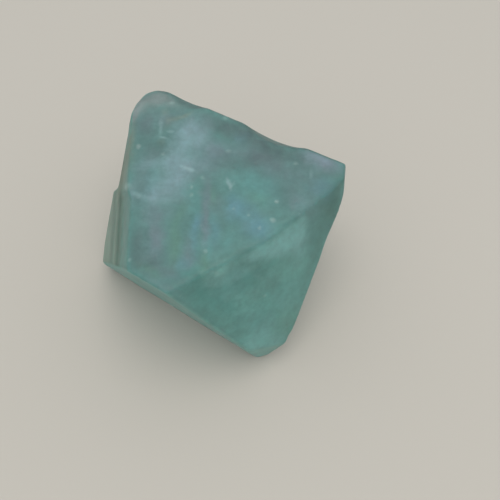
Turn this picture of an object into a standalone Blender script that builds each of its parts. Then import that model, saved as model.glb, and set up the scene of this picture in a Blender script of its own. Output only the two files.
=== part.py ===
"""Rough fluorite: one cleaved octahedron, worn and frosted, lying on one of its faces.

The crystal is a block split along its eight octahedral cleavage planes. Ledges
left by the splitting run parallel to those planes, shallow flakes are knocked
out of the corners and edges, and long wear has softened every edge.
Lengths below are in millimetres and are turned into metres where they are used.
The frame has +Z up, the stone rests on z = 0, and its box is centred over the origin.
"""

import math

import bmesh
import bpy
from mathutils import Vector

MM = 0.001

# The uncut block and the blocks that ledges are cut with
ROUGH_BLOCK = 80.0

# Cleavage planes: bearing from +X and rise above the horizon of the outward
# normal in degrees, and the distance from the middle of the crystal
CLEAVAGE = {
    "top": (-161.0, 88.0, 11.45),
    "front": (-47.0, 19.3, 14.35),
    "left": (-174.7, 18.5, 13.62),
    "back": (64.3, 19.5, 13.25),
    "keel": (-120.8, -17.4, 12.2),
    "right": (1.5, -21.0, 12.3),
    "rear": (124.5, -19.4, 14.25),
    "base": (0.0, -90.0, 12.2),
}

# The front face is slightly bowed: it is split along these planes as well
FRONT_BOW = {
    "front_right": (-40.5, 19.3, 15.4),
    "front_left": (-57.0, 19.3, 14.4),
}

# Corners broken off across the cleavage, in the same terms
BROKEN_CORNERS = {
    "top_left_corner": (125.0, 64.0, 17.3),
    "left_shoulder": (152.0, 28.0, 19.15),
    "right_corner": (-5.0, 5.0, 17.45),
    "front_tip": (-70.0, -12.0, 17.9),
    "left_tip": (-178.0, -25.0, 19.95),
    "left_edge": (171.3, 3.5, 16.4),
    "left_side": (165.5, 3.5, 16.5),
    "left_end": (-178.0, 2.0, 16.62),
    "back_tip": (80.0, -20.0, 19.3),
    "top_peak": (107.0, 5.0, 18.48),
}

# Ledges: everything is split away that lies outside all the planes of a row,
# each plane as far inside its cleavage face as the number says
LEDGES = (
    {"top": 8.6, "left": 0.1, "keel": 7.7},
    {"top": 5.9, "left": 0.22, "keel": 8.5},
    {"top": 3.7, "left": 0.34, "keel": 7.3},
    {"top": 0.9, "left": 0.43, "keel": 8.0},
    {"left_side": 2.1, "back": 14.2, "base": 21.5},
    {"left_side": 1.8, "back": 14.2},
    {"base": 6.5, "right": 0.35},
    {"base": 7.5, "rear": 0.6, "right": 14.0},
    {"base": 10.5, "back": 0.5, "left": 16.0},
    {"base": 4.4, "keel": 0.15},
)

# Flakes: a point of the crystal, the outward direction as bearing and rise,
# and the width and depth of the hollow
FLAKES = (
    ((7.5, 7.3, 11.5), (64.0, 45.0), 8.5, 0.75),
    ((-3.7, 12.2, 11.4), (80.0, 66.0), 3.8, 0.22),
    ((14.9, -4.9, 4.2), (-20.0, 0.0), 5.0, 0.2),
    ((12.6, 9.0, 2.0), (33.0, 0.0), 7.0, 0.6),
    ((8.6, 2.0, -12.2), (0.0, -50.0), 9.0, 0.5),
    ((-4.5, 8.0, -12.2), (124.0, -50.0), 8.0, 0.6),
)

# Wear: the grain that the surface is rebuilt at, rounds of softening, and the
# size and depth of the slow waves left on the faces
WEAR_GRAIN = 0.25
WEAR_ROUNDS = 9
WAVE_SIZE = 7.0
WAVE_DEPTH = 0.16
FACE_COUNT_KEPT = 0.06

# The rest: how much wear has flattened the underside
REST_WEAR = 0.12

# Sea-green, cloudy and matt
STONE_COLOUR = (0.13, 0.26, 0.24, 1.0)
STONE_ROUGHNESS = 0.55
STONE_IOR = 1.434


def clear_scene():
    """Remove what the file already holds."""
    for old in list(bpy.data.objects):
        bpy.data.objects.remove(old, do_unlink=True)
    for old in list(bpy.data.collections):
        bpy.data.collections.remove(old)


def direction(bearing, rise):
    """Unit vector at a bearing from +X and a rise above the horizon, in degrees."""
    flat = math.cos(math.radians(rise))
    return Vector((
        flat * math.cos(math.radians(bearing)),
        flat * math.sin(math.radians(bearing)),
        math.sin(math.radians(rise)),
    ))


def split_block(name, planes, keep_inside, collection):
    """Split a rough block along planes (normal, distance) and keep one side of each."""
    block = bmesh.new()
    bmesh.ops.create_cube(block, size=ROUGH_BLOCK * MM)
    for normal, distance in planes:
        cut = bmesh.ops.bisect_plane(
            block,
            geom=block.verts[:] + block.edges[:] + block.faces[:],
            plane_co=normal * distance * MM,
            plane_no=normal,
            clear_outer=keep_inside,
            clear_inner=not keep_inside,
        )
        rim = [part for part in cut["geom_cut"] if isinstance(part, bmesh.types.BMEdge)]
        bmesh.ops.holes_fill(block, edges=rim)
    bmesh.ops.recalc_face_normals(block, faces=block.faces[:])
    mesh = bpy.data.meshes.new(name)
    block.to_mesh(mesh)
    block.free()
    result = bpy.data.objects.new(name, mesh)
    collection.objects.link(result)
    return result


def cleavage_plane(face, inside):
    """The plane that lies the given depth inside a cleavage face or a broken corner."""
    bearing, rise, distance = {**CLEAVAGE, **BROKEN_CORNERS}[face]
    return direction(bearing, rise), distance - inside


def mark_as_cutter(cutter):
    """Cutters are drawn as wires and never rendered."""
    cutter.display_type = "WIRE"
    cutter.hide_render = True


def cut_ledge(number, ledge, collection):
    """Make the block that is split away outside the planes of one ledge."""
    planes = [cleavage_plane(face, inside) for face, inside in ledge.items()]
    mark_as_cutter(split_block(f"ledge_{number}", planes, False, collection))


def knock_flake(number, point, facing, width, depth, collection):
    """Make the ball whose lowest part is a shallow shell-shaped hollow."""
    radius = (width * width / 4.0 + depth * depth) / (2.0 * depth)
    ball = bmesh.new()
    bmesh.ops.create_icosphere(ball, subdivisions=5, radius=radius * MM)
    mesh = bpy.data.meshes.new(f"flake_{number}")
    ball.to_mesh(mesh)
    ball.free()
    flake = bpy.data.objects.new(f"flake_{number}", mesh)
    flake.location = (Vector(point) + direction(*facing) * (radius - depth)) * MM
    collection.objects.link(flake)
    mark_as_cutter(flake)


def cut_with(stone, name, collection):
    """Subtract every object of a collection from the stone."""
    cut = stone.modifiers.new(name, "BOOLEAN")
    cut.operation = "DIFFERENCE"
    cut.solver = "EXACT"
    cut.operand_type = "COLLECTION"
    cut.collection = collection


def wear_down(stone):
    """Round the edges and leave slow waves on the faces, as long wear does."""
    grain = stone.modifiers.new("grain", "REMESH")
    grain.mode = "VOXEL"
    grain.voxel_size = WEAR_GRAIN * MM

    soften = stone.modifiers.new("soften", "SMOOTH")
    soften.factor = 0.5
    soften.iterations = WEAR_ROUNDS

    swell = bpy.data.textures.new("slow_waves", "CLOUDS")
    swell.noise_scale = WAVE_SIZE * MM
    swell.noise_depth = 1
    waves = stone.modifiers.new("waves", "DISPLACE")
    waves.texture = swell
    waves.texture_coords = "LOCAL"
    waves.strength = WAVE_DEPTH * MM
    waves.mid_level = 0.5

    facets = stone.modifiers.new("facets", "DECIMATE")
    facets.ratio = FACE_COUNT_KEPT


def stone_material():
    """Cloudy sea-green fluorite with a frosted skin."""
    material = bpy.data.materials.new("fluorite")
    material.use_nodes = True
    shader = material.node_tree.nodes["Principled BSDF"]
    shader.inputs["Base Color"].default_value = STONE_COLOUR
    shader.inputs["Roughness"].default_value = STONE_ROUGHNESS
    shader.inputs["Metallic"].default_value = 0.0
    shader.inputs["IOR"].default_value = STONE_IOR
    shader.inputs["Transmission Weight"].default_value = 0.5
    return material


def stand_over_origin(stone, others):
    """Move everything so that the stone rests on z = 0 with its box centred."""
    graph = bpy.context.evaluated_depsgraph_get()
    corners = [Vector(corner) for corner in stone.evaluated_get(graph).bound_box]
    middle = [(min(c[axis] for c in corners) + max(c[axis] for c in corners)) / 2.0 for axis in range(2)]
    lift = -min(c[2] for c in corners)
    for item in [stone, *others]:
        item.location += Vector((-middle[0], -middle[1], lift))


def build():
    """Split the crystal, break its corners and edges, wear it down and lay it on its face."""
    clear_scene()
    home = bpy.data.collections.new("rough_fluorite")
    breaks = bpy.data.collections.new("fluorite_breaks")
    rests = bpy.data.collections.new("fluorite_rest")
    for collection in (home, breaks, rests):
        bpy.context.scene.collection.children.link(collection)

    planes = []
    for bearing, rise, distance in (*CLEAVAGE.values(), *FRONT_BOW.values(), *BROKEN_CORNERS.values()):
        planes.append((direction(bearing, rise), distance))
    stone = split_block("fluorite_crystal", planes, True, home)
    stone.data.materials.append(stone_material())

    for number, ledge in enumerate(LEDGES, 1):
        cut_ledge(number, ledge, breaks)
    for number, (point, facing, width, depth) in enumerate(FLAKES, 1):
        knock_flake(number, point, facing, width, depth, breaks)
    under = split_block("rest_wear", [cleavage_plane("base", REST_WEAR)], False, rests)
    mark_as_cutter(under)

    cut_with(stone, "breaks", breaks)
    wear_down(stone)
    cut_with(stone, "rest", rests)
    bpy.context.view_layer.update()
    stand_over_origin(stone, [*breaks.objects, *rests.objects])


build()
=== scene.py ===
"""Rough fluorite: one cleaved, worn and frosted octahedron of cloudy sea-green fluorite."""

import math

import bmesh
import bpy
from mathutils import Euler, Matrix, Vector
from mathutils.bvhtree import BVHTree


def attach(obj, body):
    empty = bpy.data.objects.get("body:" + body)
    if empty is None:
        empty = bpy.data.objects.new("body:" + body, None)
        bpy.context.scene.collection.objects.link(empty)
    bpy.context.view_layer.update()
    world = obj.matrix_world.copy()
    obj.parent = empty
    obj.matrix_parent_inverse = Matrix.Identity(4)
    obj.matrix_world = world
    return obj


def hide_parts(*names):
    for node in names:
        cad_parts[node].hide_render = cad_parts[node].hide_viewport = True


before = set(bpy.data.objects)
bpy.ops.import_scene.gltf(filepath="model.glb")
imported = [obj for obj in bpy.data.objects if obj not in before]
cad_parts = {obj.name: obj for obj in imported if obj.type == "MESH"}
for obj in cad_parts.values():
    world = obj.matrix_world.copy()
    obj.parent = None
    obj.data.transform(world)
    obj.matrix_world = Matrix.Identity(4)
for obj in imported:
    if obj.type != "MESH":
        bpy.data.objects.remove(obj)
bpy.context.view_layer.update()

# The crystal: one piece of fluorite, split on four pairs of octahedral planes
# and then worn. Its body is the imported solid, closed again at a fine grain and
# smoothed a little, so that only real steps and edges are left to see.

MM = 0.001
CORNERS_MEET_WITHIN = 0.01
BODY_GRAIN = 0.22
BODY_SMOOTHING = 0.5
SMOOTHING_ROUNDS = 2

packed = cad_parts["fluorite_crystal"]
whole = bmesh.new()
whole.from_mesh(packed.data)
bmesh.ops.remove_doubles(whole, verts=whole.verts[:], dist=CORNERS_MEET_WITHIN * MM)
solid_faces = BVHTree.FromBMesh(whole)
crystal_mesh = bpy.data.meshes.new("rough_crystal")
whole.to_mesh(crystal_mesh)
whole.free()
crystal = bpy.data.objects.new("rough_crystal", crystal_mesh)
bpy.context.scene.collection.objects.link(crystal)

closing = crystal.modifiers.new("closing", "REMESH")
closing.mode = "VOXEL"
closing.voxel_size = BODY_GRAIN * MM
closing.use_smooth_shade = True
wearing = crystal.modifiers.new("wearing", "SMOOTH")
wearing.factor = BODY_SMOOTHING
wearing.iterations = SMOOTHING_ROUNDS


# The skin: long rubbing has frosted it. It keeps slow dents, a fine rough grain
# and a few round pits; the underside stays flat where the stone rests.

SKIN_SIZES = {
    "Dent depth": 0.05,
    "Dent size": 3.2,
    "Frost depth": 0.018,
    "Frost size": 0.55,
    "Pit depth": 0.08,
    "Pit spacing": 2.6,
    "Pit share": 0.22,
    "Rest height": 0.25,
    "Nick depth": 0.10,
    "Bulge reach": 6,
}
DENT_SEED, DENT_DETAIL = 11.0, 1.0
FROST_SEED, FROST_DETAIL = 37.0, 2.0
SEED_STEP = Vector((1.0, 1.7, 0.6))
PIT_RIM = (0.02, 0.17)
NICK_REACH = 0.8

# The camera over the stone: lens and sensor (mm), rise and roll (degrees)
PICTURE_WIDTH = 500
CAMERA_LENS = 46.02
CAMERA_SENSOR = 36.0
CAMERA_RISE = 58.7
CAMERA_ROLL = 2.47
STONE_MIDDLE = Vector((0.09, -0.22, 12.08)) * MM
CAMERA_PLACE = STONE_MIDDLE + Vector((5.05, -49.11, 75.25)) * MM
CAMERA_TURN = Euler((math.radians(90.0 - CAMERA_RISE), 0.0, 0.0))
CAMERA_TURN.rotate_axis("Z", math.radians(CAMERA_ROLL))

# Nicks knocked into the faces. Every mark on the stone is a row of seven values, given
# in the picture: the column and row of its middle, its half length and half width
# (pixels), its turn from level (degrees), its depth in the stone (mm) and its strength
NICKS = (
    (276.8, 201.4, 1.9, 1.7, 0, 1, 0.65),
    (273, 220, 2.4, 2.1, 0, 1, 0.6),
    (259.5, 227.7, 1.8, 1.7, 0, 1, 0.55),
    (126, 186.5, 1.5, 2.4, 0, 1, 0.6),
    (138.6, 146.4, 2.3, 2.2, 0, 1, 0.6),
    (129.5, 260, 1.8, 1.8, 0, 1, 0.45),
    (296, 163.5, 2.2, 1.7, 0, 1, 0.4),
    (171.6, 102.8, 2.4, 1.8, 0, 1, 0.35),
    (248.4, 215, 1.6, 1.6, 0, 1, 0.3),
    (233.8, 208.5, 1.8, 1.5, 0, 1, 0.3),
    (191.5, 187, 1.5, 2.2, 0, 1, 0.35),
    (191.8, 194.5, 2.0, 1.8, 0, 1, 0.35),
    (203, 178, 1.6, 2.2, 60, 1, 0.25),
    (228.6, 151, 2.6, 2.0, 0, 1, 0.3),
    (217, 274, 2, 1.8, 0, 1, 0.3),
    (205.5, 251, 1.8, 1.8, 0, 1, 0.35),
    (163, 154, 1.8, 1.5, 0, 1, 0.3),
    (225, 118, 2.4, 1.8, 20, 1, 0.4),
    (265, 296, 1.6, 1.3, 0, 1, 0.25),
    (300, 214, 1.4, 1.4, 0, 1, 0.2),
)


def sight_line(column, row):
    """The direction in which the camera sees a point of the picture."""
    half_picture = PICTURE_WIDTH / 2
    lens_in_pixels = PICTURE_WIDTH * CAMERA_LENS / CAMERA_SENSOR
    return CAMERA_TURN.to_matrix() @ Vector((column - half_picture, half_picture - row, -lens_in_pixels))


def laid_on_stone(column, row, half_length, half_width, turn, depth):
    """Lay a mark on the face that the camera sees there: middle and half sizes (mm), turns."""
    middle, normal, _, _ = solid_faces.ray_cast(CAMERA_PLACE, sight_line(column, row))

    def one_pixel(angle):
        """The step along the face that covers one pixel of the picture."""
        level, drop = math.cos(math.radians(angle)), -math.sin(math.radians(angle))
        line = sight_line(column + level, row + drop)
        reach = (middle - CAMERA_PLACE).dot(normal) / line.dot(normal)
        return (CAMERA_PLACE + line * reach - middle) / MM

    along_mark, across_mark = one_pixel(turn), one_pixel(turn + 90.0)
    half_sizes = Vector((half_length * along_mark.length, half_width * across_mark.length, depth))
    ahead = along_mark.normalized()
    axes = Matrix((ahead, normal.cross(ahead), normal)).transposed()
    return middle / MM, half_sizes, axes.to_euler()


def wire(tree, node, inputs):
    """Set or link a node's inputs: a socket is linked, anything else is its value."""
    for key, value in inputs.items():
        socket = node.inputs[key]
        if isinstance(value, bpy.types.NodeSocket):
            tree.links.new(value, socket)
        else:
            socket.default_value = value
    return node


def add(tree, kind, inputs=None, **settings):
    """Add one node with its settings and inputs."""
    node = tree.nodes.new(kind)
    for name, value in settings.items():
        setattr(node, name, value)
    return wire(tree, node, inputs or {})


def number(tree, operation, *values):
    """One step of arithmetic between numbers."""
    return add(tree, "ShaderNodeMath", dict(enumerate(values)), operation=operation).outputs[0]


def vector(tree, operation, *values):
    """One step of arithmetic between vectors."""
    return add(tree, "ShaderNodeVectorMath", dict(enumerate(values)), operation=operation).outputs[0]


def scaled(tree, value, factor):
    """A vector times a number."""
    return add(tree, "ShaderNodeVectorMath", {0: value, "Scale": factor}, operation="SCALE").outputs[0]


def along(tree, value, axis):
    """How far a vector reaches along an axis."""
    return add(tree, "ShaderNodeVectorMath", {0: value, 1: axis}, operation="DOT_PRODUCT").outputs["Value"]


def ramp_up(tree, value, limits, ends=(0.0, 1.0), kind="SMOOTHSTEP"):
    """Map a number between two limits to the two ends, held at both."""
    low, high = limits
    bottom, top = ends
    inputs = {"Value": value, "From Min": low, "From Max": high, "To Min": bottom, "To Max": top}
    return add(tree, "ShaderNodeMapRange", inputs, interpolation_type=kind).outputs[0]


def frosted_skin(material):
    """Geometry Nodes that lay dents, frost, pits and nicks on the crystal's faces."""
    tree = bpy.data.node_groups.new("frosted_skin", "GeometryNodeTree")
    sockets = tree.interface
    sockets.new_socket("Geometry", in_out="INPUT", socket_type="NodeSocketGeometry")
    for name, size in SKIN_SIZES.items():
        sockets.new_socket(name, in_out="INPUT", socket_type="NodeSocketFloat").default_value = size
    sockets.new_socket("Geometry", in_out="OUTPUT", socket_type="NodeSocketGeometry")
    given = tree.nodes.new("NodeGroupInput").outputs

    in_mm = scaled(tree, add(tree, "GeometryNodeInputPosition").outputs[0], 1.0 / MM)
    normal = add(tree, "GeometryNodeInputNormal").outputs[0]

    def rough(size, detail, seed):
        shifted = vector(tree, "ADD", in_mm, SEED_STEP * seed)
        scale = number(tree, "DIVIDE", 1.0, size)
        noise = add(tree, "ShaderNodeTexNoise", {"Vector": shifted, "Scale": scale, "Detail": detail})
        return number(tree, "SUBTRACT", noise.outputs[0], 0.5)

    dent = rough(given["Dent size"], DENT_DETAIL, DENT_SEED)
    dents = number(tree, "MULTIPLY", dent, given["Dent depth"])
    grain = rough(given["Frost size"], FROST_DETAIL, FROST_SEED)
    frost = number(tree, "MULTIPLY", grain, given["Frost depth"])
    swell = number(tree, "ADD", dents, frost)

    pit_scale = number(tree, "DIVIDE", 1.0, given["Pit spacing"])
    cells = add(tree, "ShaderNodeTexVoronoi", {"Vector": in_mm, "Scale": pit_scale, "Randomness": 1.0})
    chosen = add(tree, "ShaderNodeSeparateXYZ", {0: cells.outputs["Color"]}).outputs[0]
    is_pit = number(tree, "LESS_THAN", chosen, given["Pit share"])
    hollow = ramp_up(tree, cells.outputs["Distance"], PIT_RIM, (1.0, 0.0))
    pits = number(tree, "MULTIPLY", number(tree, "MULTIPLY", hollow, is_pit), given["Pit depth"])
    for *seen, strength in NICKS:
        middle, half_sizes, _ = laid_on_stone(*seen)
        apart = {0: in_mm, 1: middle}
        away = add(tree, "ShaderNodeVectorMath", apart, operation="DISTANCE").outputs["Value"]
        reach = NICK_REACH * (half_sizes.x + half_sizes.y)
        dip = ramp_up(tree, away, (0.0, reach), (given["Nick depth"], 0.0))
        pits = number(tree, "MULTIPLY_ADD", dip, strength, pits)

    height = add(tree, "ShaderNodeSeparateXYZ", {0: in_mm}).outputs["Z"]
    off_the_rest = number(tree, "GREATER_THAN", height, given["Rest height"])
    lift = number(tree, "MULTIPLY", number(tree, "SUBTRACT", swell, pits), off_the_rest)
    offset = scaled(tree, normal, number(tree, "MULTIPLY", lift, MM))
    moved = add(tree, "GeometryNodeSetPosition", {"Geometry": given["Geometry"], "Offset": offset})

    around = add(
        tree,
        "GeometryNodeBlurAttribute",
        {"Value": in_mm, "Iterations": given["Bulge reach"]},
        data_type="FLOAT_VECTOR",
    )
    bulge = along(tree, vector(tree, "SUBTRACT", in_mm, around.outputs[0]), normal)
    marked = add(
        tree,
        "GeometryNodeStoreNamedAttribute",
        {"Geometry": moved.outputs[0], "Name": "bulge_for_shade", "Value": bulge},
        domain="POINT",
    )
    single = add(tree, "GeometryNodeRealizeInstances", {"Geometry": marked.outputs[0]})
    finish = add(tree, "GeometryNodeSetMaterial", {"Geometry": single.outputs[0], "Material": material})
    add(tree, "NodeGroupOutput", {0: finish.outputs[0]})
    return tree


# The colour: cloudy sea-green fluorite with smoky, slate-blue and bright teal parts,
# lavender and leaf-green bands and milky veils. They are laid as soft tints on the
# skin: a group has one colour, and each cloud a row of the same values as a nick.

BODY_COLOUR = (0.165, 0.345, 0.320, 1.0)
CLOUDS = {
    "sea_green": ((0.196, 0.445, 0.390, 1.0), (
        (268, 305, 52, 40, 35, 8, 0.85),
        (215, 300, 30, 22, -33, 6, 0.5),
        (300, 262, 30, 22, 60, 6, 0.4),
    )),
    "smoky": ((0.130, 0.212, 0.208, 1.0), (
        (255, 139, 36, 10, -27, 3, 0.95),
        (258, 164, 20, 11, -8, 3, 0.9),
        (257, 155, 13, 6, -15, 3, 0.4),
        (200, 124, 14, 9, -20, 3, 0.6),
        (222, 127, 18, 6, -25, 3, 0.34),
        (292, 156, 16, 7, -22, 3, 0.5),
        (206, 114, 14, 5, -22, 2, 0.32),
        (146, 126, 17, 11, 75, 3, 0.6),
        (160, 149, 13, 8, 35, 3, 0.6),
        (183, 112, 13, 6, -12, 2, 0.32),
        (137, 246, 22, 7, 85, 3, 0.8),
        (178, 256, 9, 6, 0, 2, 0.2),
        (150, 262, 16, 7, -25, 3, 0.45),
    )),
    "slate": ((0.195, 0.290, 0.305, 1.0), (
        (300, 180, 34, 22, -5, 3, 0.6),
        (222, 156, 26, 13, -15, 3, 0.55),
        (166, 120, 22, 14, 20, 3, 0.36),
        (205, 170, 16, 12, 0, 3, 0.4),
        (150, 238, 24, 14, 88, 3, 0.5),
        (272, 166, 20, 10, -10, 3, 0.45),
        (176, 272, 20, 9, -28, 3, 0.35),
        (166, 286, 22, 6, -28, 2, 0.5),
        (140, 182, 26, 9, 80, 3, 0.55),
        (150, 152, 12, 8, 0, 3, 0.3),
    )),
    "deep_green": ((0.110, 0.335, 0.300, 1.0), (
        (205, 297, 26, 13, -33, 3, 0.6),
        (187, 275, 19, 7, 18, 2, 0.7),
        (264, 269, 22, 4, 26, 2, 0.4),
        (242, 283, 16, 10, 0, 3, 0.35),
        (232, 312, 18, 8, -30, 3, 0.3),
    )),
    "clear_green": ((0.115, 0.245, 0.215, 1.0), (
        (333, 199, 24, 8, 76, 3, 0.85),
        (325, 228, 18, 8, 74, 3, 0.45),
        (314, 258, 18, 5, 72, 3, 0.12),
        (343, 180, 8, 4, 85, 2, 0.5),
        (185, 280, 15, 4.5, 28, 2, 0.36),
        (206, 269, 14, 4.5, 28, 2, 0.42),
        (228, 257, 14, 4.5, 28, 2, 0.36),
    )),
    "bright_teal": ((0.180, 0.445, 0.425, 1.0), (
        (250, 184, 18, 22, 85, 3, 0.65),
        (268, 192, 12, 12, 0, 3, 0.4),
        (196, 205, 19, 6, 88, 3, 0.5),
        (214, 212, 14, 4, 90, 3, 0.3),
        (207, 246, 20, 5, 90, 3, 0.45),
        (229, 240, 12, 8, 80, 3, 0.4),
        (186, 190, 10, 6, 80, 3, 0.3),
        (230, 293, 18, 14, 0, 2, 0.4),
        (231, 276, 16, 6, 15, 2, 0.65),
        (280, 296, 30, 16, 70, 3, 0.3),
        (264, 338, 22, 13, 20, 3, 0.6),
        (250, 318, 20, 14, -30, 3, 0.3),
    )),
    "sky_blue": ((0.190, 0.400, 0.470, 1.0), (
        (257, 226, 15, 12, 0, 3, 0.75),
        (232, 207, 13, 8, 80, 3, 0.55),
        (194, 240, 15, 5, 88, 3, 0.5),
        (199, 224, 9, 5, 88, 3, 0.6),
        (184, 262, 8, 6, 0, 2, 0.45),
        (245, 208, 12, 12, 0, 3, 0.5),
        (150, 183, 18, 7, 75, 3, 0.15),
        (214, 232, 15, 6, 88, 3, 0.4),
        (321, 187, 12, 9, 20, 3, 0.4),
        (240, 138, 8, 5, 0, 2, 0.3),
    )),
    "leaf_green": ((0.175, 0.360, 0.270, 1.0), (
        (174, 238, 21, 6, 88, 3, 0.6),
        (204, 262, 11, 4, 88, 2, 0.6),
        (213, 196, 9, 3.5, 88, 2, 0.5),
        (180, 212, 11, 5, 80, 2, 0.4),
        (150, 270, 14, 5, -25, 2, 0.35),
        (256, 198, 12, 7, 0, 2, 0.35),
        (286, 326, 18, 11, 60, 2, 0.35),
    )),
    "lavender": ((0.265, 0.325, 0.375, 1.0), (
        (143, 122, 13, 10, 80, 2, 0.25),
        (165, 214, 10, 8, 0, 2, 0.3),
        (205, 238, 14, 4, 88, 2, 0.3),
        (217, 205, 10, 6, 80, 2, 0.3),
        (168, 120, 8, 6, 0, 2, 0.3),
        (156, 238, 22, 7, 88, 3, 0.52),
        (207, 197, 20, 4.5, 85, 3, 0.6),
        (188, 252, 16, 5, 90, 3, 0.5),
        (152, 214, 9, 8, 0, 3, 0.45),
        (206, 226, 13, 3.5, 88, 2, 0.55),
        (174, 275, 14, 6, -22, 2, 0.3),
        (322, 161, 21, 9, -25, 3, 0.9),
        (300, 204, 10, 14, 80, 3, 0.35),
        (222, 150, 18, 8, -10, 3, 0.35),
        (250, 150, 16, 8, -20, 3, 0.25),
    )),
    # Painted highlight: the bevel at the top-left corner is painted a paler grey
    "bevel_highlight": ((0.300, 0.365, 0.355, 1.0), (
        (138, 109, 12, 6, 55, 2, 0.9),
        (148, 99, 12, 7, 35, 2, 0.9),
        (162, 97, 12, 7, -5, 2, 0.85),
        (175, 103, 10, 6, -30, 2, 0.45),
        (134, 118, 8, 3, 70, 2, 0.45),
    )),
    "veil_and_lit_tip": ((0.265, 0.520, 0.480, 1.0), (
        (222, 269, 11, 6, 15, 1.5, 0.7),
        # Painted light: the next row is the pale rim along the tip's lower edge, lit through the thin
        # stone
        (268, 351, 22, 5, 22, 1.5, 0.9),
        (262, 340, 24, 13, 15, 3, 0.5),
        (296, 262, 9, 7, 0, 2, 0.25),
        (236, 262, 8, 4, 10, 2, 0.25),
        (231, 277, 17, 6, 15, 2, 0.45),
        (212, 275, 13, 6, 20, 2, 0.35),
        (218, 281, 13, 5, 28, 1.5, 0.32),
        (181, 299, 10, 5, -28, 1.5, 0.25),
    )),
    "milk": ((0.415, 0.560, 0.630, 1.0), (
        (190, 134, 20, 13, 50, 3, 0.66),
        (180, 151, 15, 7, 40, 3, 0.2),
        (187, 166, 20, 11, 5, 3, 0.52),
        (176, 193, 12, 12, 0, 3, 0.32),
        (152, 163, 22, 7, 12, 2, 0.3),
        (164, 183, 16, 12, 65, 3, 0.42),
        (184, 181, 10, 8, 0, 3, 0.35),
        (157, 198, 13, 10, 60, 2, 0.36),
        (204, 150, 14, 12, 0, 3, 0.2),
        (131, 192, 4, 12, 0, 2, 0.2),
        (322, 161, 17, 8, -25, 3, 0.22),
    )),
}
# Thin marks with sharper outlines: pale healed cracks, iron stain and a dark olive band along the left rim
THIN_MARKS = {
    "front_veil": ((0.275, 0.545, 0.515, 1.0), (
        (301, 226, 9, 5, 84, 2, 0.75),
        (299, 238, 9, 7, 80, 2, 0.85),
        (289, 236, 9, 5, 30, 2, 0.55),
        (287, 246, 12, 8, 20, 2, 0.85),
        (273, 251, 12, 5.5, 18, 2, 0.8),
        (256, 254, 10, 5, 20, 2, 0.9),
        (300, 251, 7, 6, 0, 2, 0.6),
        (290, 232, 12, 5, 35, 2, 0.55),
        (275, 242, 12, 5, 32, 2, 0.55),
        (261, 249, 9, 4, 28, 2, 0.45),
        (291, 228, 6, 4, 60, 2, 0.55),
    )),
    "healed_crack": ((0.430, 0.620, 0.630, 1.0), (
        (185.5, 167.5, 4.5, 1.8, -22, 0.8, 0.75),
        (191, 170, 3.5, 2.0, -15, 0.8, 0.85),
        (161, 124, 5, 2.2, 86, 0.8, 0.35),
        (160.5, 131, 4, 2.0, 86, 0.8, 0.25),
        (163, 137.6, 3.6, 1.5, -3, 0.8, 0.5),
        (229, 182.5, 4.5, 1.8, -68, 0.8, 0.5),
        (233.4, 184, 3.2, 1.5, 55, 0.8, 0.24),
        (230.8, 188, 3, 1.6, -85, 0.8, 0.38),
        (311, 174, 4.5, 1.8, 84, 0.8, 0.28),
        (135, 193.5, 3, 2.0, -10, 0.8, 0.35),
        (139, 196, 2.6, 2.2, -10, 0.8, 0.35),
        (170, 131.5, 3, 1.3, 0, 0.8, 0.4),
    )),
    "iron_stain": ((0.310, 0.345, 0.265, 1.0), (
        (170, 119.5, 5, 2.6, 5, 1, 0.25),
        (178, 118, 6, 2.0, 18, 1, 0.35),
        (187, 115, 6, 1.8, 30, 1, 0.34),
        (168, 123, 3, 6, 0, 1, 0.18),
        (165, 112, 4, 4, 0, 1, 0.25),
        (161, 142, 4, 3, 0, 1, 0.2),
    )),
    "dark_olive_rim": ((0.270, 0.285, 0.215, 1.0), (
        (130.8, 138, 14, 2.6, 80, 0.8, 0.5),
        (127.4, 156, 12, 2.8, 79, 0.8, 0.5),
        (123.8, 173, 11, 3.0, 78, 0.8, 0.42),
        (119.5, 186, 5, 2.0, 60, 0.8, 0.4),
    )),
}
NICK_COLOUR = (0.46, 0.62, 0.59, 1.0)
CLOUD_SPREAD = 1.7
MARK_SPREAD = 1.8

# How the clouds' outlines wander: times per mm, fineness and reach (mm)
SLOW_DRIFT = (0.25, 1.0, 1.2)
CLOUD_DRIFT = (0.9, 3.0, 1.0)
MARK_DRIFT = (1.5, 3.0, 0.45)
# Streaks that make the clouds thinner and thicker, and two sizes of mottling
STREAK_STRETCH = (0.55, 0.22, 0.4)
STREAK_DETAIL = 4.0
STREAK_LIMITS = (0.33, 0.62)
CLOUD_THICKNESS = (0.65, 1.15)
BROAD_MOTTLE = {"Scale": 0.35, "Detail": 2.0}
FINE_MOTTLE = {"Scale": 0.9, "Detail": 5.0, "Roughness": 0.65}
MOTTLE_LIMITS = (0.3, 0.7)
BROAD_SHADE = (0.93, 1.07)
FINE_SHADE = (0.87, 1.13)
# Painted shade: edges are darkened the more they bulge out of the skin (mm)
EDGE_BULGE = (0.005, 0.07)
EDGE_SHADE = (1.0, 0.86)

# Outward directions of the cleavage faces: bearing and rise in degrees
TOP_FACE = (-161.0, 88.0)
LEFT_FACE = (-174.7, 18.5)
FRONT_FACE = (-47.0, 19.3)
UNDER_FACE = (-120.8, -17.4)
FAR_FACE = (64.3, 19.5)

# The ledges down the left face: height along the top face's direction (mm) and
# the colour that each step shows, its own band tint with painted light and shade of the step
LEDGES_FACING = (0.62, 0.86)
LEDGE_HEIGHT = 24.0
LEDGE_COLOURS_AND_SHADING = (
    (6.0, (0.26, 0.38, 0.30)),
    (10.8, (0.25, 0.37, 0.30)),
    (13.4, (0.145, 0.255, 0.205)),
    (14.8, (0.17, 0.29, 0.235)),
    (15.4, (0.225, 0.365, 0.295)),
    (16.6, (0.135, 0.255, 0.20)),
    (17.8, (0.090, 0.195, 0.155)),
    (19.2, (0.115, 0.255, 0.205)),
    (20.2, (0.160, 0.325, 0.285)),
    (22.9, (0.160, 0.335, 0.305)),
)
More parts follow.
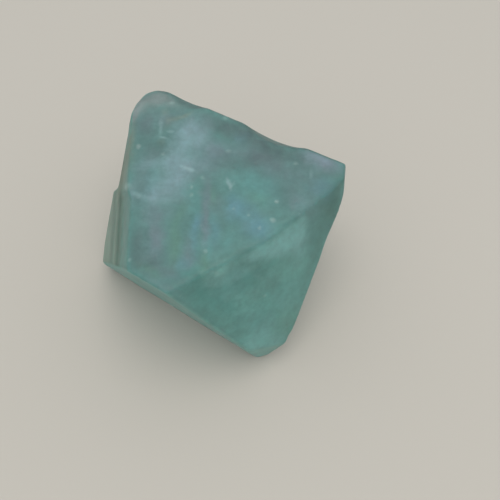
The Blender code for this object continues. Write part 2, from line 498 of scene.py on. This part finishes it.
# The face under the left front gets a paler painted highlight, and the far side a darker painted shade
UNDER_HIGHLIGHT_COLOUR = (0.250, 0.500, 0.450, 1.0)
UNDER_HIGHLIGHT_FACING = (0.2, 0.6)
UNDER_HIGHLIGHT_STRENGTH = 0.6
FAR_SHADE_COLOUR = (0.115, 0.205, 0.195, 1.0)
FAR_SHADE_FACING = (0.30, 0.75)

# Fluorite bends light little. The frost scatters it just under the skin (reach in
# metres), and the body absorbs red the most (strength for each metre)
FLUORITE_IOR = 1.434
SEEN_THROUGH = 0.40
SKIN_ROUGHNESS = (0.42, 0.56)
SCATTER_BY_COLOUR = (0.5, 1.0, 0.9)
SCATTER_REACH = 0.003
ABSORBING_COLOUR = (0.35, 0.72, 0.66, 1.0)
ABSORBING_STRENGTH = 60.0


def direction(face):
    """Unit vector square to a face, from its bearing and its rise."""
    bearing, rise = map(math.radians, face)
    return Vector((math.cos(rise) * math.cos(bearing), math.cos(rise) * math.sin(bearing), math.sin(rise)))


def soft_spots(tree, place, marks, spread):
    """Add up soft-edged spots: each fades out at spread times its half sizes."""
    amount = 0.0
    for *seen, strength in marks:
        middle, half_sizes, turns = laid_on_stone(*seen)
        spot = add(
            tree,
            "ShaderNodeMapping",
            {"Vector": place, "Location": middle, "Rotation": turns, "Scale": half_sizes * spread},
            vector_type="TEXTURE",
        )
        ball = add(tree, "ShaderNodeTexGradient", {"Vector": spot.outputs[0]}, gradient_type="SPHERICAL")
        soft = ramp_up(tree, ball.outputs[1], (0.0, 1.0))
        amount = number(tree, "MULTIPLY_ADD", soft, strength, amount)
    return amount


def blend(tree, share, below, above):
    """Lay one colour over another by a share from 0 to 1."""
    node = add(tree, "ShaderNodeMix", {0: share, 6: below, 7: above}, data_type="RGBA", clamp_factor=True)
    return node.outputs[2]


def ledge_bands_and_shading(tree, up):
    """The colours of the ledges, one above another, with the painted light and shade of their steps."""
    steps = add(tree, "ShaderNodeValToRGB", {0: number(tree, "DIVIDE", up, LEDGE_HEIGHT)})
    ramp = steps.color_ramp.elements
    while len(ramp) < len(LEDGE_COLOURS_AND_SHADING):
        ramp.new(0.5)
    for stop, (height, tint) in zip(ramp, LEDGE_COLOURS_AND_SHADING):
        stop.position = height / LEDGE_HEIGHT
        stop.color = (*tint, 1.0)
    return steps.outputs[0]


def cloudy_stone():
    """Principled stone with clouds placed in Object coordinates, counted in millimetres."""
    material = bpy.data.materials.new("frosted_fluorite")
    material.use_nodes = True
    tree = material.node_tree
    shader = tree.nodes["Principled BSDF"]
    texture_space = add(tree, "ShaderNodeTexCoord").outputs
    in_mm = scaled(tree, texture_space["Object"], 1.0 / MM)

    def drifting(drift, place):
        often, detail, reach = drift
        noise = add(tree, "ShaderNodeTexNoise", {"Vector": in_mm, "Scale": often, "Detail": detail})
        shift = vector(tree, "SUBTRACT", noise.outputs["Color"], (0.5, 0.5, 0.5))
        return vector(tree, "MULTIPLY_ADD", shift, (reach, reach, reach), place)

    def mottling(grain, limits, ends):
        noise = add(tree, "ShaderNodeTexNoise", {"Vector": in_mm, **grain}).outputs[0]
        return ramp_up(tree, noise, limits, ends, "LINEAR")

    slow_drift = drifting(SLOW_DRIFT, in_mm)
    drifted = drifting(CLOUD_DRIFT, slow_drift)
    jagged = drifting(MARK_DRIFT, in_mm)

    stretched = vector(tree, "MULTIPLY", drifted, STREAK_STRETCH)
    streak_inputs = {"Vector": stretched, "Scale": 1.0, "Detail": STREAK_DETAIL}
    streaks = add(tree, "ShaderNodeTexNoise", streak_inputs).outputs[0]
    thickness = ramp_up(tree, streaks, STREAK_LIMITS, CLOUD_THICKNESS, "LINEAR")

    colour = BODY_COLOUR
    for tint, clouds in CLOUDS.values():
        amount = number(tree, "MULTIPLY", soft_spots(tree, drifted, clouds, CLOUD_SPREAD), thickness)
        colour = blend(tree, amount, colour, tint)

    facing = texture_space["Normal"]
    on_ledges = ramp_up(tree, along(tree, facing, direction(LEFT_FACE)), LEDGES_FACING)
    steps = ledge_bands_and_shading(tree, along(tree, slow_drift, direction(TOP_FACE)))
    colour = blend(tree, on_ledges, colour, steps)
    # Painted shade: faces turned towards the far side are darkened
    far_side_shade = ramp_up(tree, along(tree, facing, direction(FAR_FACE)), FAR_SHADE_FACING)
    colour = blend(tree, far_side_shade, colour, FAR_SHADE_COLOUR)

    for tint, marks in THIN_MARKS.values():
        colour = blend(tree, soft_spots(tree, jagged, marks, MARK_SPREAD), colour, tint)
    colour = blend(tree, soft_spots(tree, jagged, NICKS, MARK_SPREAD), colour, NICK_COLOUR)

    # Square to the left and front faces, so that they keep their own colours
    under_axis = direction(FRONT_FACE).cross(direction(LEFT_FACE))
    under_axis /= under_axis.dot(direction(UNDER_FACE))
    # Painted highlight: the face under the left front is painted paler
    under_highlight = ramp_up(tree, along(tree, facing, under_axis), UNDER_HIGHLIGHT_FACING, (0.0, UNDER_HIGHLIGHT_STRENGTH))
    colour = blend(tree, under_highlight, colour, UNDER_HIGHLIGHT_COLOUR)

    # Painted shade: the bulge measure from the skin darkens the edges
    bulge = add(tree, "ShaderNodeAttribute", attribute_name="bulge_for_shade").outputs["Fac"]
    painted_edge_shade = ramp_up(tree, bulge, EDGE_BULGE, EDGE_SHADE, "LINEAR")
    broad = mottling(BROAD_MOTTLE, MOTTLE_LIMITS, BROAD_SHADE)
    fine = mottling(FINE_MOTTLE, MOTTLE_LIMITS, FINE_SHADE)
    mottle_and_edge_shade = number(tree, "MULTIPLY", fine, number(tree, "MULTIPLY", broad, painted_edge_shade))
    wire(tree, shader, {
        "Base Color": scaled(tree, colour, mottle_and_edge_shade),
        "Roughness": mottling(FINE_MOTTLE, MOTTLE_LIMITS, SKIN_ROUGHNESS),
        "IOR": FLUORITE_IOR,
        "Transmission Weight": SEEN_THROUGH,
        "Subsurface Weight": 1.0,
        "Subsurface Radius": SCATTER_BY_COLOUR,
        "Subsurface Scale": SCATTER_REACH,
    })
    absorbing = {"Color": ABSORBING_COLOUR, "Density": ABSORBING_STRENGTH}
    body = add(tree, "ShaderNodeVolumeAbsorption", absorbing)
    wire(tree, tree.nodes["Material Output"], {"Volume": body.outputs[0]})
    return material


stone_finish = cloudy_stone()
skin = crystal.modifiers.new("skin", "NODES")
skin.node_group = frosted_skin(stone_finish)
for socket in skin.node_group.interface.items_tree:
    if socket.in_out == "INPUT" and socket.name in SKIN_SIZES:
        skin[socket.identifier] = SKIN_SIZES[socket.name]

depsgraph = bpy.context.evaluated_depsgraph_get()
finished_mesh = bpy.data.meshes.new_from_object(crystal.evaluated_get(depsgraph), depsgraph=depsgraph)
crystal.modifiers.clear()
crystal.data = finished_mesh
crystal.data.materials.clear()
crystal.data.materials.append(stone_finish)
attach(crystal, "root")
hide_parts("fluorite_crystal")

# The studio: a plain pale floor, a soft sky all round and one large soft light
# from overhead, and the camera at the photograph's angle.

FLOOR_HALF = 1.5
FLOOR_LOOKS = {"Base Color": (0.52, 0.485, 0.43, 1.0), "Roughness": 0.9, "Specular IOR Level": 0.2}
SKY_LOOKS = {"Color": (0.93, 0.97, 1.0, 1.0), "Strength": 0.85}
KEY_PLACE = Vector((0.02, -0.05, 0.35))
KEY_WIDTH = 0.26
KEY_POWER = 0.42
KEY_COLOUR = (1.0, 0.97, 0.93)
CAMERA_NEAREST = 0.005

floor_mesh = bpy.data.meshes.new("floor")
floor_corners = [(-1, -1), (1, -1), (1, 1), (-1, 1)]
floor_mesh.from_pydata([(FLOOR_HALF * x, FLOOR_HALF * y, 0) for x, y in floor_corners], [], [(0, 1, 2, 3)])
floor = bpy.data.objects.new("floor", floor_mesh)
bpy.context.scene.collection.objects.link(floor)
floor_finish = bpy.data.materials.new("pale_floor")
floor_finish.use_nodes = True
wire(floor_finish.node_tree, floor_finish.node_tree.nodes["Principled BSDF"], FLOOR_LOOKS)
floor.data.materials.append(floor_finish)

sky = bpy.data.worlds.new("soft_sky")
sky.use_nodes = True
wire(sky.node_tree, sky.node_tree.nodes["Background"], SKY_LOOKS)
bpy.context.scene.world = sky

key_data = bpy.data.lights.new("key", "AREA")
key_data.shape = "DISK"
key_data.size = KEY_WIDTH
key_data.energy = KEY_POWER
key_data.color = KEY_COLOUR
key = bpy.data.objects.new("key", key_data)
key.location = KEY_PLACE
key.rotation_euler = (STONE_MIDDLE - KEY_PLACE).to_track_quat("-Z", "Y").to_euler()
bpy.context.scene.collection.objects.link(key)

camera_data = bpy.data.cameras.new("camera")
camera_data.sensor_width = CAMERA_SENSOR
camera_data.lens = CAMERA_LENS
camera_data.clip_start = CAMERA_NEAREST
camera = bpy.data.objects.new("camera", camera_data)
camera.location = CAMERA_PLACE
camera.rotation_euler = CAMERA_TURN
bpy.context.scene.collection.objects.link(camera)
bpy.context.scene.camera = camera
bpy.context.scene.view_settings.view_transform = "Standard"
